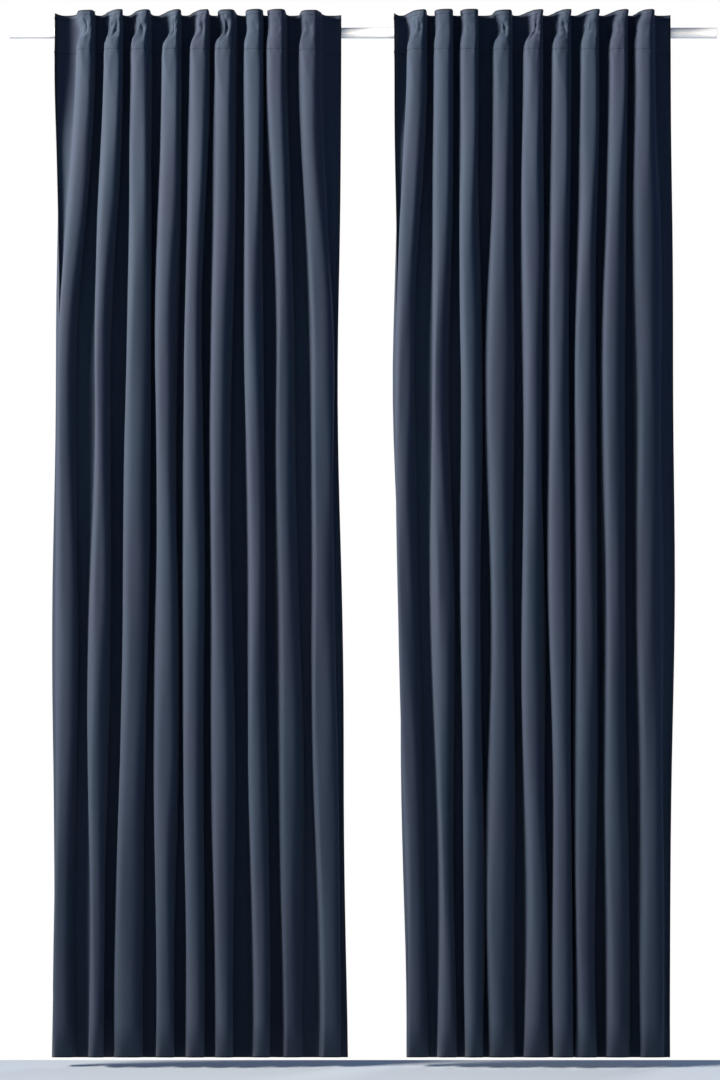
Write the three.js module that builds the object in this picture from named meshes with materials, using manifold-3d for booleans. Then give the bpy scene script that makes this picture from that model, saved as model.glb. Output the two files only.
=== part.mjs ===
// A pair of full-length curtain panels hung on a plain round rod, with the two wall brackets behind them.
// Millimetres. X runs along the rod, +Y points at the wall and +Z up.
// The origin is on the wall, straight behind the middle of the rod: the wall is the plane y = 0.

import * as THREE from 'three';
import { mergeVertices } from 'three/addons/utils/BufferGeometryUtils.js';
import Module from 'manifold-3d';

// ---- driving dimensions ----

// The gap left between two pieces that touch.
const GAP = 0.3;
// Facets round the rod and its caps, round the bracket arms, and round the screws and their holes.
const ROUND_STEPS = 40;
const ARM_STEPS = 24;
const SCREW_STEPS = 16;
// Facets to each rounded corner of a wall plate, and to each arc of a bracket cup.
const CORNER_STEPS = 6;
const CUP_STEPS = 12;
// Corners closer than this are one corner when a mesh is closed up.
const WELD = 1e-4;

// Rod.
const ROD_RADIUS = 12.5;
const ROD_WALL = 1.2;
const ROD_TO_WALL = 120;
const BRACKET_SPACING = 1364;
const ROD_OVERHANG = 168;
const CAP_DISC = 2;
const CAP_SPIGOT = 12;
const CAP_BEVEL = 0.6;

// Cloth panel, as it is cut and sewn.
const PANEL_WIDTH = 1450;
const PANEL_LENGTH = 2500;
const CLOTH_THICKNESS = 1.0;
const HEADER_ABOVE_ROD = 38;

// Heading tape on the back of the cloth, below the top edge.
const TAPE_BELOW_TOP = 9;
const TAPE_HEIGHT = 86;
const TAPE_THICKNESS = 0.8;
const TAPE_FROM_EDGE = 10;

// Woven loops on the back of the tape, which the rod runs through.
const LOOP_WIDTH = 25;
const LOOP_THICKNESS = 1.0;
const LOOP_SEAM = 8;
const LOOP_TOP_SEAM_ABOVE_ROD = 3.5;
const LOOP_BOTTOM_SEAM_BELOW_ROD = 35.5;
// Where a loop first touches the rod, in degrees about its axis from straight back, and the facets round it.
const LOOP_MEETS_ROD = 110;
const LOOP_STEPS = 9;

// How the folds stand: 0 is a plain wave and 1 has flanks square to the wall.
const FOLD_ROUNDNESS = 0.9;
// Above 1, the cloth lies flatter where a loop pulls it against the rod.
const VALLEY_FLATNESS = 1.3;
const FOLD_STEPS = 12;
// How many times the range is halved when the depth of a fold is worked out.
const DEPTH_HALVINGS = 40;

// How each panel is drawn along the rod. Spreads run inwards from the outermost loop and share out the hung
// width. lead is the innermost loop's distance from mid-rod, outboard is the outermost loop's distance
// beyond its bracket, and hemSway is how far the leading edge leans towards mid-rod by the hem.
const PANELS = [
  {
    side: 'left', sign: -1, lead: 79, outboard: 37, hemSway: 17, outerFlap: 14, leadFlap: 26,
    spreads: [90, 65, 72, 69, 69, 67, 60, 57, 91],
  },
  {
    side: 'right', sign: 1, lead: 88, outboard: 30, hemSway: -39, outerFlap: 22, leadFlap: 12,
    spreads: [69, 69, 65, 67, 72, 86, 58, 59, 79],
  },
];

// Brackets.
const PLATE = { width: 36, height: 80, thickness: 3, corner: 6, holeRadius: 2.6, holeSpacing: 56 };
const ARM_RADIUS = 6;
const CUP_CLEARANCE = 0.4;
const CUP_WALL = 4;
const CUP_WIDTH = 16;
const CUP_FRONT_LIP = 5;
const CUP_BACK_LIP = 10;
const CLAMP = {
  shankRadius: 1.9, headRadius: 6, headHeight: 6, standOff: 2, flutes: 12, fluteDepth: 0.4, stepsPerFlute: 4,
};
const CLAMP_HOLE_CLEARANCE = 0.3;
const WALL_SCREW = {
  shankRadius: 2.0, length: 38, point: 6, headRadius: 4.2, headTopRadius: 2.52, headHeight: 2.6,
};

// ---- sizes that follow ----

const ROD_Y = -ROD_TO_WALL;
const ROD_LENGTH = BRACKET_SPACING + 2 * ROD_OVERHANG;
const TUBE_LENGTH = ROD_LENGTH - 2 * (CAP_DISC + GAP);
const TAPE_Y = ROD_Y - ROD_RADIUS - GAP - TAPE_THICKNESS / 2;
const CLOTH_Y = TAPE_Y - TAPE_THICKNESS / 2 - GAP - CLOTH_THICKNESS / 2;
const TAPE_TOP = HEADER_ABOVE_ROD - TAPE_BELOW_TOP;
const TAPE_BOTTOM = TAPE_TOP - TAPE_HEIGHT;
const HEM = HEADER_ABOVE_ROD - PANEL_LENGTH;
const CUP_INNER = ROD_RADIUS + CUP_CLEARANCE;
const CUP_OUTER = CUP_INNER + CUP_WALL;

// ---- finishes ----

const white = new THREE.MeshStandardMaterial({ color: 0xf1f1ef, roughness: 0.35, metalness: 0.0 });
const whiteCap = new THREE.MeshStandardMaterial({ color: 0xe9e9e7, roughness: 0.45, metalness: 0.0 });
const steel = new THREE.MeshStandardMaterial({ color: 0xb9bcc0, roughness: 0.35, metalness: 1.0 });
const navy = new THREE.MeshStandardMaterial({ color: 0x1c2a3c, roughness: 0.85, metalness: 0.0 });
const navyTape = new THREE.MeshStandardMaterial({ color: 0x18222f, roughness: 0.9, metalness: 0.0 });

// ---- helpers ----

const wasm = await Module();
wasm.setup();

function toSolid(geometry) {
  const bare = geometry.clone();
  bare.deleteAttribute('normal');
  bare.deleteAttribute('uv');
  const merged = mergeVertices(bare, WELD);
  const mesh = new wasm.Mesh({
    numProp: 3,
    vertProperties: new Float32Array(merged.attributes.position.array),
    triVerts: new Uint32Array(merged.index.array),
  });
  return new wasm.Manifold(mesh);
}

function fromSolid(solid) {
  const mesh = solid.getMesh();
  const geometry = new THREE.BufferGeometry();
  geometry.setAttribute('position', new THREE.BufferAttribute(new Float32Array(mesh.vertProperties), 3));
  geometry.setIndex(new THREE.BufferAttribute(new Uint32Array(mesh.triVerts), 1));
  return geometry;
}

function cutAway(geometry, tool) {
  return fromSolid(toSolid(geometry).subtract(toSolid(tool)));
}

function joined(a, b) {
  return fromSolid(toSolid(a).add(toSolid(b)));
}

function piece(name, geometry, material, x = 0, y = 0, z = 0) {
  const mesh = new THREE.Mesh(geometry, material);
  mesh.name = name;
  mesh.position.set(x, y, z);
  return mesh;
}

// A shape drawn in the Y-Z plane, extruded along X and centred on x = 0.
function extrudeAlongX(shape, width) {
  const settings = { depth: width, bevelEnabled: false, curveSegments: CUP_STEPS };
  const geometry = new THREE.ExtrudeGeometry(shape, settings);
  geometry.rotateX(Math.PI / 2);
  geometry.rotateZ(Math.PI / 2);
  geometry.translate(-width / 2, 0, 0);
  return geometry;
}

// A lathe profile of [radius, height] pairs turned about Z.
function turned(profile, steps) {
  const points = profile.map(([r, h]) => new THREE.Vector2(r, h));
  return new THREE.LatheGeometry(points, steps).rotateX(Math.PI / 2);
}

// ---- rod ----

function rodTube() {
  const half = TUBE_LENGTH / 2;
  const inner = ROD_RADIUS - ROD_WALL;
  const ring = [[inner, -half], [ROD_RADIUS, -half], [ROD_RADIUS, half], [inner, half], [inner, -half]];
  return turned(ring, ROUND_STEPS).rotateY(Math.PI / 2);
}

// A flush plastic cap: a disc over the tube's end and a spigot inside it. It points along +X.
function endCap() {
  const spigot = ROD_RADIUS - ROD_WALL - GAP;
  const profile = [
    [0, -CAP_SPIGOT],
    [spigot - CAP_BEVEL, -CAP_SPIGOT],
    [spigot, -CAP_SPIGOT + CAP_BEVEL],
    [spigot, 0],
    [ROD_RADIUS, 0],
    [ROD_RADIUS, CAP_DISC - CAP_BEVEL],
    [ROD_RADIUS - CAP_BEVEL, CAP_DISC],
    [0, CAP_DISC],
  ];
  return turned(profile, ROUND_STEPS).rotateY(Math.PI / 2);
}

function rodPieces() {
  const seat = TUBE_LENGTH / 2 + GAP;
  const leftCap = piece('rod_end_cap_left', endCap(), whiteCap, -seat, ROD_Y);
  leftCap.rotation.z = Math.PI;
  return [
    piece('rod', rodTube(), white, 0, ROD_Y),
    leftCap,
    piece('rod_end_cap_right', endCap(), whiteCap, seat, ROD_Y),
  ];
}

// ---- brackets ----

// The plate screwed to the wall, upright, with its back on y = 0.
function wallPlate() {
  const { width, height, thickness, corner, holeRadius, holeSpacing } = PLATE;
  const w = width / 2;
  const h = height / 2;
  const shape = new THREE.Shape();
  shape.moveTo(-w + corner, -h);
  shape.lineTo(w - corner, -h);
  shape.absarc(w - corner, -h + corner, corner, -Math.PI / 2, 0, false);
  shape.absarc(w - corner, h - corner, corner, 0, Math.PI / 2, false);
  shape.absarc(-w + corner, h - corner, corner, Math.PI / 2, Math.PI, false);
  shape.absarc(-w + corner, -h + corner, corner, Math.PI, 1.5 * Math.PI, false);
  for (const end of [-1, 1]) {
    const hole = new THREE.Path();
    hole.absarc(0, end * holeSpacing / 2, holeRadius, 0, 2 * Math.PI, true);
    shape.holes.push(hole);
  }
  const settings = { depth: thickness, bevelEnabled: false, curveSegments: CORNER_STEPS };
  return new THREE.ExtrudeGeometry(shape, settings).rotateX(Math.PI / 2);
}

function wallScrew() {
  const { shankRadius, length, point, headRadius, headTopRadius, headHeight } = WALL_SCREW;
  const profile = [
    [0, -length],
    [shankRadius, -length + point],
    [shankRadius, 0],
    [headRadius, 0],
    [headRadius, headHeight / 2],
    [headTopRadius, headHeight],
    [0, headHeight],
  ];
  return turned(profile, SCREW_STEPS).rotateX(Math.PI / 2);
}

function wallScrewPieces(side, x) {
  const seat = -PLATE.thickness - GAP;
  const half = PLATE.holeSpacing / 2;
  return [
    piece(`bracket_wall_screw_${side}_upper`, wallScrew(), steel, x, seat, half),
    piece(`bracket_wall_screw_${side}_lower`, wallScrew(), steel, x, seat, -half),
  ];
}

// The open-topped cradle that the rod lies in, with a flat pad behind for the arm.
function rodCup() {
  const shape = new THREE.Shape();
  shape.moveTo(-CUP_OUTER, CUP_FRONT_LIP);
  shape.lineTo(-CUP_OUTER, 0);
  shape.absarc(0, 0, CUP_OUTER, Math.PI, 1.5 * Math.PI, false);
  shape.lineTo(CUP_OUTER, -CUP_OUTER);
  shape.lineTo(CUP_OUTER, CUP_BACK_LIP);
  shape.lineTo(CUP_INNER, CUP_BACK_LIP);
  shape.absarc(0, 0, CUP_INNER, 0, -Math.PI, true);
  shape.lineTo(-CUP_INNER, CUP_FRONT_LIP);
  const cradle = extrudeAlongX(shape, CUP_WIDTH);
  const holeRadius = CLAMP.shankRadius + CLAMP_HOLE_CLEARANCE;
  const drill = new THREE.CylinderGeometry(holeRadius, holeRadius, 2 * CUP_WALL, SCREW_STEPS);
  drill.rotateX(Math.PI / 2).translate(0, 0, -CUP_INNER - CUP_WALL / 2);
  return cutAway(cradle, drill);
}

function bracketArm() {
  const reach = ROD_TO_WALL - CUP_OUTER - PLATE.thickness - 2 * GAP;
  return new THREE.CylinderGeometry(ARM_RADIUS, ARM_RADIUS, reach, ARM_STEPS);
}

// The round head of a thumb screw with flutes for the fingers, its top at z = 0.
function flutedHead() {
  const { headRadius, headHeight, flutes, fluteDepth, stepsPerFlute } = CLAMP;
  const steps = stepsPerFlute * flutes;
  const rim = Array.from({ length: steps }, (_, i) => {
    const turn = (2 * Math.PI * i) / steps;
    const radius = headRadius - fluteDepth * (1 - Math.cos(flutes * turn));
    return new THREE.Vector2(radius * Math.cos(turn), radius * Math.sin(turn));
  });
  const head = new THREE.ExtrudeGeometry(new THREE.Shape(rim), { depth: headHeight, bevelEnabled: false });
  return head.translate(0, 0, -headHeight);
}

// A thumb screw under the cup, about the rod's axis. Its shank stops just short of the rod.
function clampScrew() {
  const { shankRadius, headHeight, standOff } = CLAMP;
  const top = -ROD_RADIUS - GAP;
  const headTop = -CUP_OUTER - standOff;
  const shankLength = top - headTop + headHeight / 2;
  const shank = new THREE.CylinderGeometry(shankRadius, shankRadius, shankLength, SCREW_STEPS);
  shank.rotateX(Math.PI / 2).translate(0, 0, top - shankLength / 2);
  return joined(flutedHead().translate(0, 0, headTop), shank);
}

function bracketPieces({ side, sign }) {
  const x = (sign * BRACKET_SPACING) / 2;
  const armY = (ROD_Y + CUP_OUTER - PLATE.thickness) / 2;
  return [
    piece(`bracket_wall_plate_${side}`, wallPlate(), white, x),
    ...wallScrewPieces(side, x),
    piece(`bracket_arm_${side}`, bracketArm(), white, x, armY),
    piece(`bracket_rod_cup_${side}`, rodCup(), white, x, ROD_Y),
    piece(`bracket_clamp_screw_${side}`, clampScrew(), steel, x, ROD_Y),
  ];
}

// ---- cloth ----

// A point on the cloth's middle line, seen from above, t of the way from one loop to the next.
function foldPoint(start, pitch, depth, t) {
  const x = start + pitch * (t + (FOLD_ROUNDNESS * Math.sin(4 * Math.PI * t)) / (4 * Math.PI));
  const forward = ((1 - Math.cos(2 * Math.PI * t)) / 2) ** VALLEY_FLATNESS;
  return new THREE.Vector2(x, CLOTH_Y - depth * forward);
}

function foldPoints(start, pitch, depth) {
  return Array.from({ length: FOLD_STEPS + 1 }, (_, i) => foldPoint(start, pitch, depth, i / FOLD_STEPS));
}

function lineLength(points) {
  return points.slice(1).reduce((sum, p, i) => sum + p.distanceTo(points[i]), 0);
}

// The depth at which a fold of this pitch takes up this much cloth, found by halving.
function foldDepth(pitch, cloth) {
  let low = 0;
  let high = cloth;
  for (let i = 0; i < DEPTH_HALVINGS; i += 1) {
    const middle = (low + high) / 2;
    if (lineLength(foldPoints(0, pitch, middle)) < cloth) {
      low = middle;
    } else {
      high = middle;
    }
  }
  return (low + high) / 2;
}

// The places of a panel's loops along X, from the lowest X to the highest.
function loopPlaces({ sign, lead, outboard, spreads }) {
  const outermost = BRACKET_SPACING / 2 + outboard;
  const scale = (outermost - lead) / spreads.reduce((sum, s) => sum + s, 0);
  const places = [outermost];
  for (const spread of spreads) {
    places.push(places.at(-1) - spread * scale);
  }
  const along = places.map((p) => sign * p);
  return sign > 0 ? along.reverse() : along;
}

// The panel's middle line as one list per fold. The first and last lists take in the side flaps.
function panelLines(panel) {
  const places = loopPlaces(panel);
  const [lowFlap, highFlap] = panel.sign < 0
    ? [panel.outerFlap, panel.leadFlap]
    : [panel.leadFlap, panel.outerFlap];
  const folds = places.length - 1;
  const cloth = (PANEL_WIDTH - lowFlap - highFlap) / folds;
  const lines = [];
  for (let i = 0; i < folds; i += 1) {
    const pitch = places[i + 1] - places[i];
    lines.push(foldPoints(places[i], pitch, foldDepth(pitch, cloth)));
  }
  lines[0].unshift(new THREE.Vector2(places[0] - lowFlap, CLOTH_Y));
  lines.at(-1).push(new THREE.Vector2(places.at(-1) + highFlap, CLOTH_Y));
  return lines;
}

// Where each point of a line faces, towards the wall. Every line ends square to the rod.
function backNormals(points) {
  return points.map((_, i) => {
    if (i === 0 || i === points.length - 1) return new THREE.Vector2(0, 1);
    const along = points[i + 1].clone().sub(points[i - 1]).normalize();
    return new THREE.Vector2(-along.y, along.x);
  });
}

// How far the cloth leans sideways at a place on the panel: nothing in the header, all of it at the hem.
function swayAt(panel, x, z) {
  const outermost = BRACKET_SPACING / 2 + panel.outboard;
  const across = (outermost - panel.sign * x) / (outermost - panel.lead);
  const down = Math.max(0, (TAPE_BOTTOM - z) / (TAPE_BOTTOM - HEM));
  return -panel.sign * panel.hemSway * across * down;
}

// A strip of cloth standing on a line: offset is how far behind the line its middle is. Its heights run up.
function strip(panel, points, thickness, offset, heights) {
  const normals = backNormals(points);
  const columns = points.length - 1;
  const rows = heights.length - 1;
  const geometry = new THREE.BoxGeometry(1, 1, 1, columns, 1, rows);
  const position = geometry.attributes.position;
  for (let i = 0; i < position.count; i += 1) {
    const column = Math.round((position.getX(i) + 0.5) * columns);
    const z = heights[Math.round((position.getZ(i) + 0.5) * rows)];
    const push = offset + position.getY(i) * thickness;
    const x = points[column].x + normals[column].x * push;
    const y = points[column].y + normals[column].y * push;
    position.setXYZ(i, x + swayAt(panel, x, z), y, z);
  }
  return geometry;
}

// The same line with its ends drawn in by half a gap, so that neighbours don't touch.
function drawnIn(points) {
  const inner = points.map((p) => p.clone());
  inner[0].x += GAP / 2;
  inner.at(-1).x -= GAP / 2;
  return inner;
}

function foldPieces(panel) {
  const lines = panelLines(panel);
  const heights = [HEM, TAPE_BOTTOM, HEADER_ABOVE_ROD];
  return lines.map((points, i) => {
    const number = panel.sign < 0 ? i + 1 : lines.length - i;
    const cloth = strip(panel, drawnIn(points), CLOTH_THICKNESS, 0, heights);
    return piece(`${panel.side}_panel_fold_${number}`, cloth, navy);
  });
}

function tapePiece(panel) {
  const lines = panelLines(panel);
  const points = lines.flatMap((line, i) => (i ? line.slice(1) : line)).map((p) => p.clone());
  points[0].x += TAPE_FROM_EDGE;
  points.at(-1).x -= TAPE_FROM_EDGE;
  const behind = TAPE_Y - CLOTH_Y;
  const tape = strip(panel, points, TAPE_THICKNESS, behind, [TAPE_BOTTOM, TAPE_TOP]);
  return piece(`${panel.side}_panel_heading_tape`, tape, navyTape);
}

// ---- loops ----

// A loop's middle line in the Y-Z plane about the rod's axis: a seam flat on the tape, over the rod,
// round its back, straight down to the tape again and a second seam.
function loopLine() {
  const radius = ROD_RADIUS + GAP + LOOP_THICKNESS / 2;
  const seamY = -ROD_RADIUS + LOOP_THICKNESS / 2;
  const topSeam = ROD_RADIUS + LOOP_TOP_SEAM_ABOVE_ROD;
  const foot = new THREE.Vector2(seamY, -ROD_RADIUS - LOOP_BOTTOM_SEAM_BELOW_ROD);
  const leaves = foot.angle() - 2 * Math.PI + Math.acos(radius / foot.length());
  const meets = THREE.MathUtils.degToRad(LOOP_MEETS_ROD);
  const points = [new THREE.Vector2(seamY, topSeam + LOOP_SEAM), new THREE.Vector2(seamY, topSeam)];
  for (let i = 0; i <= LOOP_STEPS; i += 1) {
    const angle = meets + ((leaves - meets) * i) / LOOP_STEPS;
    points.push(new THREE.Vector2(radius * Math.cos(angle), radius * Math.sin(angle)));
  }
  points.push(foot, new THREE.Vector2(seamY, foot.y - LOOP_SEAM));
  return points;
}

// The outline of a band that keeps half its thickness on each side of a line, mitred at each corner.
function bandOutline(points, thickness) {
  const sides = [1, -1].map((side) => points.map((p, i) => {
    const before = p.clone().sub(points[Math.max(i - 1, 0)]).normalize();
    const after = points[Math.min(i + 1, points.length - 1)].clone().sub(p).normalize();
    if (i === 0) before.copy(after);
    if (i === points.length - 1) after.copy(before);
    const along = before.clone().add(after).normalize();
    const mitre = thickness / 2 / along.dot(before);
    return new THREE.Vector2(p.x - along.y * side * mitre, p.y + along.x * side * mitre);
  }));
  return new THREE.Shape([...sides[0], ...sides[1].reverse()]);
}

function loopPieces(panel) {
  const places = loopPlaces(panel);
  const outline = bandOutline(loopLine(), LOOP_THICKNESS);
  return places.map((x, i) => {
    const number = panel.sign < 0 ? i + 1 : places.length - i;
    const loop = extrudeAlongX(outline, LOOP_WIDTH);
    return piece(`${panel.side}_panel_loop_${number}`, loop, navyTape, x, ROD_Y);
  });
}

// ---- assembly ----

const curtains = new THREE.Group();
curtains.add(...rodPieces());
for (const panel of PANELS) {
  curtains.add(...bracketPieces(panel));
  curtains.add(...loopPieces(panel));
  curtains.add(tapePiece(panel));
  curtains.add(...foldPieces(panel));
}

export default curtains;
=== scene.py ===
# %% [markdown]
# # A pair of curtains on a rod
# Two full-length cloth panels hang from a plain round rod by woven loops hidden on their backs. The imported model
# gives the rod, the brackets and the loops' places, and it comes in as a fixed frame. Everything soft is then
# worked out as surfaces that follow one idea: cloth doesn't stretch, so each panel keeps its cut width at every
# height, and the folds take up whatever the loops leave over.

import bpy
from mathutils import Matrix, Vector
import numpy as np


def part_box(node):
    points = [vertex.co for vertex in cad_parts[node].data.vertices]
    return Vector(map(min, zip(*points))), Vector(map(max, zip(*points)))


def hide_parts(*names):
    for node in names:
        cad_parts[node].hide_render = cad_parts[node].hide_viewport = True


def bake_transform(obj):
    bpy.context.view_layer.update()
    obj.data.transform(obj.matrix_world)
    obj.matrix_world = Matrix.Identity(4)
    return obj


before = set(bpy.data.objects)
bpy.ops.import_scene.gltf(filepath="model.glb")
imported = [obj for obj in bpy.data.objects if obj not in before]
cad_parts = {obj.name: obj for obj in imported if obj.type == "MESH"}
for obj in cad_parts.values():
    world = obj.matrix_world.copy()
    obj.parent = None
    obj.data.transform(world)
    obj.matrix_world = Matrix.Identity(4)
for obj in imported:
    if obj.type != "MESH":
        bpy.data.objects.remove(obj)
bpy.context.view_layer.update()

MM = 0.001
SIDES = ("left", "right")

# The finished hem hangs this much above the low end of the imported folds.
HEM_RAISE = 0.012
ROD_LOW, ROD_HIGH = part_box("rod")
ROD_Y = (ROD_LOW[1] + ROD_HIGH[1]) / 2
HEM_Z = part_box("left_panel_fold_5")[0][2] + HEM_RAISE
TOP_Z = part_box("left_panel_fold_5")[1][2]
TAPE_LOW_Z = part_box("left_panel_heading_tape")[0][2]
TAPE_HIGH_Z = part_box("left_panel_heading_tape")[1][2]
print("rod", round(ROD_HIGH[2] - ROD_LOW[2], 4), "across, panels from", round(HEM_Z, 3), "to", round(TOP_Z, 3))

# %% [markdown]
# ## Camera
# A curtain is looked at from the room, straight on and from well back, so its long edges stay nearly parallel. The
# camera stands low, about two thirds of the way down the cloth, which is why the header's front folds rise above
# its valleys. The whole panel could be framed by tilting the camera up, but a large tilt makes the edges lean, so
# it tilts by two degrees only and a shift of the lens does the rest.

# %% Camera
FRAME_HEIGHT = 2.581
FRAME_CENTRE = (-0.007, -1.220)
CAMERA_Z = -1.75
CAMERA_DISTANCE = 6.4525
TILT = np.radians(2.0)
LENS, SENSOR = 90.3, 36.0

camera_data = bpy.data.cameras.new("camera")
camera_data.lens = LENS
camera_data.sensor_width = SENSOR
camera_data.shift_y = (FRAME_CENTRE[1] - CAMERA_Z) / FRAME_HEIGHT - np.tan(TILT) * LENS / SENSOR
camera = bpy.data.objects.new("camera", camera_data)
bpy.context.scene.collection.objects.link(camera)
camera.location = (FRAME_CENTRE[0], ROD_Y - CAMERA_DISTANCE, CAMERA_Z)
camera.rotation_euler = (np.pi / 2 + TILT, 0, 0)
bpy.context.scene.camera = camera
print("camera", [round(c, 2) for c in camera.location], "shift", round(camera_data.shift_y, 3))

# %% [markdown]
# ## Floor and light
# The backdrop is plain: a pale floor just under the hem and a white surround. The folds are drawn by light from one
# side. A large soft lamp stands to the left in front, so that each fold's left face is lit and its right face falls
# away into shade, and a weak one behind shows the backs. The surround could light everything evenly, but that would
# fill the shade between the folds, so it gives only a little blue light. Three small lamps light the bare lengths
# of the rod and nothing else.

# %% Floor and light
HEM_TO_FLOOR = 0.02
FLOOR_Z = HEM_Z - HEM_TO_FLOOR


def plane_piece(name, x, y, z):
    """A flat rectangle at one height: x and y are each (low, high)."""
    corners = [(x[0], y[0], z), (x[1], y[0], z), (x[1], y[1], z), (x[0], y[1], z)]
    mesh = bpy.data.meshes.new(name)
    mesh.from_pydata(corners, [], [(0, 1, 2, 3)])
    obj = bpy.data.objects.new(name, mesh)
    bpy.context.scene.collection.objects.link(obj)
    return obj


def place_lamp(name, kind, location, target, power, tint=(1, 1, 1)):
    """A lamp of a kind at a place, turned to face a target. It gives back the lamp's data for its own settings."""
    data = bpy.data.lights.new(name, kind)
    data.energy = power
    data.color = tint
    lamp = bpy.data.objects.new(name, data)
    lamp.location = location
    lamp.rotation_euler = (Vector(target) - Vector(location)).to_track_quat("-Z", "Y").to_euler()
    bpy.context.scene.collection.objects.link(lamp)
    return data


def area_lamp(name, location, target, size, power, tint=(1, 1, 1)):
    """A rectangular lamp of size (width, height)."""
    data = place_lamp(name, "AREA", location, target, power, tint)
    data.shape = "RECTANGLE"
    data.size, data.size_y = size


floor = plane_piece("floor", x=(-7, 7), y=(-9, 0), z=FLOOR_Z)
MIDDLE = (0, ROD_Y, (HEM_Z + TOP_Z) / 2)
area_lamp("key", location=(-6.7, -2.8, 1.1), target=(2, -5, 9), size=(3.4, 2.8), power=5000, tint=(1.0, 0.90, 0.82))
area_lamp("rear", location=(2.6, 3.6, 0.6), target=MIDDLE, size=(2.0, 2.5), power=60)
print("floor at", round(FLOOR_Z, 3))

# %% Rod lamps
ROD_LAMP_DISTANCE, ROD_LAMP_Z = 3.0, -1.0
ROD_LAMP_POWER, ROD_LAMP_TINT = 190, (1.0, 0.88, 0.66)
ROD_LAMP_BLEND, ROD_LAMP_RADIUS = 0.3, 0.02

# The middle and half the length of each bare length of rod.
BARE_LENGTHS = {"left end": (-0.815, 0.075), "middle": (0.012, 0.062), "right end": (0.815, 0.075)}


def rod_lamp(name, x, reach):
    """A small lamp in front whose cone of light spans a length of rod, reach to each side of x, and little else."""
    place, target = (x, ROD_Y - ROD_LAMP_DISTANCE, ROD_LAMP_Z), (x, ROD_Y, 0)
    data = place_lamp(name, "SPOT", place, target, ROD_LAMP_POWER, ROD_LAMP_TINT)
    data.spot_size = 2 * np.arctan(reach / ROD_LAMP_DISTANCE)
    data.spot_blend = ROD_LAMP_BLEND
    data.shadow_soft_size = ROD_LAMP_RADIUS


for name, (x, reach) in BARE_LENGTHS.items():
    rod_lamp(f"rod lamp {name}", x, reach)
print("rod lamps at", [x for x, _ in BARE_LENGTHS.values()])

# %% Surround
LIGHT_FROM_LEVEL, LIGHT_FROM_ABOVE = (0.045, 0.13, 0.35), (0.012, 0.045, 0.13)
LEVEL_ENDS, ABOVE_STARTS = 0.02, 0.5


def surround(level, above):
    """A world that looks white to the camera and lights the scene with one colour from level and one from above."""
    world = bpy.data.worlds.new("surround")
    world.use_nodes = True
    tree = world.node_tree
    tree.nodes.clear()
    path = tree.nodes.new("ShaderNodeLightPath")
    seen = tree.nodes.new("ShaderNodeBackground")
    seen.inputs["Color"].default_value = (1, 1, 1, 1)
    coords = tree.nodes.new("ShaderNodeTexCoord")
    split = tree.nodes.new("ShaderNodeSeparateXYZ")
    height = tree.nodes.new("ShaderNodeValToRGB")
    for element, position, colour in zip(height.color_ramp.elements, (LEVEL_ENDS, ABOVE_STARTS), (level, above)):
        element.position, element.color = position, (*colour, 1)
    tree.links.new(coords.outputs["Generated"], split.inputs[0])
    tree.links.new(split.outputs["Z"], height.inputs["Fac"])
    lit = tree.nodes.new("ShaderNodeBackground")
    tree.links.new(height.outputs["Color"], lit.inputs["Color"])
    mix = tree.nodes.new("ShaderNodeMixShader")
    out = tree.nodes.new("ShaderNodeOutputWorld")
    tree.links.new(path.outputs["Is Camera Ray"], mix.inputs["Fac"])
    tree.links.new(lit.outputs["Background"], mix.inputs[1])
    tree.links.new(seen.outputs["Background"], mix.inputs[2])
    tree.links.new(mix.outputs["Shader"], out.inputs["Surface"])
    return world


bpy.context.scene.world = surround(LIGHT_FROM_LEVEL, LIGHT_FROM_ABOVE)
bpy.context.scene.view_settings.view_transform = "Standard"
print("surround made, light from level", LIGHT_FROM_LEVEL)

# %% [markdown]
# ## Surfaces from grids
# A sheet of cloth is a grid of points, row by row down the drop and column by column across the width. Two copies
# of the grid, half a thickness to each side, joined round the rim, make a closed shell. A Solidify modifier could
# thicken it too, but here the thickness changes at the hems, and a grid of thicknesses says where. The flat
# pattern, the place of each point on the cut cloth, is kept as the UV map, so that the weave follows every fold.

# %% Grid helpers


def smooth(t):
    """Ease from 0 to 1: three t squared less two t cubed, flat outside."""
    t = np.clip(t, 0, 1)
    return t * t * (3 - 2 * t)


def bell(t, width):
    """A bump of height 1 at 0 that has fallen to about a third at width."""
    return np.exp(-((t / width) ** 2))


def grid_quads(rows, columns, start=0, turned=False):
    """The quads of a grid whose points are numbered row by row from start. turned faces them the other way."""
    index = start + np.arange(rows * columns).reshape(rows, columns)
    a, b = index[:-1, :-1], index[:-1, 1:]
    c, d = index[1:, 1:], index[1:, :-1]
    quads = np.stack([a, b, c, d] if turned else [a, d, c, b], axis=-1)
    return quads.reshape(-1, 4)


def grid_normals(points):
    """Unit normals of a grid of points, from the cross product of its two directions. They face the wall."""
    normal = np.cross(np.gradient(points, axis=1), np.gradient(points, axis=0))
    return normal / np.maximum(np.linalg.norm(normal, axis=-1, keepdims=True), 1e-12)


def mesh_piece(name, vertices, faces, uv=None, material=None):
    """A smooth-shaded object at the origin from whole arrays. uv holds one pair for each vertex."""
    mesh = bpy.data.meshes.new(name)
    mesh.from_pydata(np.asarray(vertices, float).tolist(), [], [list(f) for f in faces])
    mesh.polygons.foreach_set("use_smooth", np.ones(len(mesh.polygons), bool))
    if uv is not None:
        layer = mesh.uv_layers.new(name="flat")
        corner = np.zeros(len(mesh.loops), np.int32)
        mesh.loops.foreach_get("vertex_index", corner)
        layer.data.foreach_set("uv", np.asarray(uv, np.float32)[corner].ravel())
    if material is not None:
        mesh.materials.append(material)
    obj = bpy.data.objects.new(name, mesh)
    bpy.context.scene.collection.objects.link(obj)
    return obj


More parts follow.
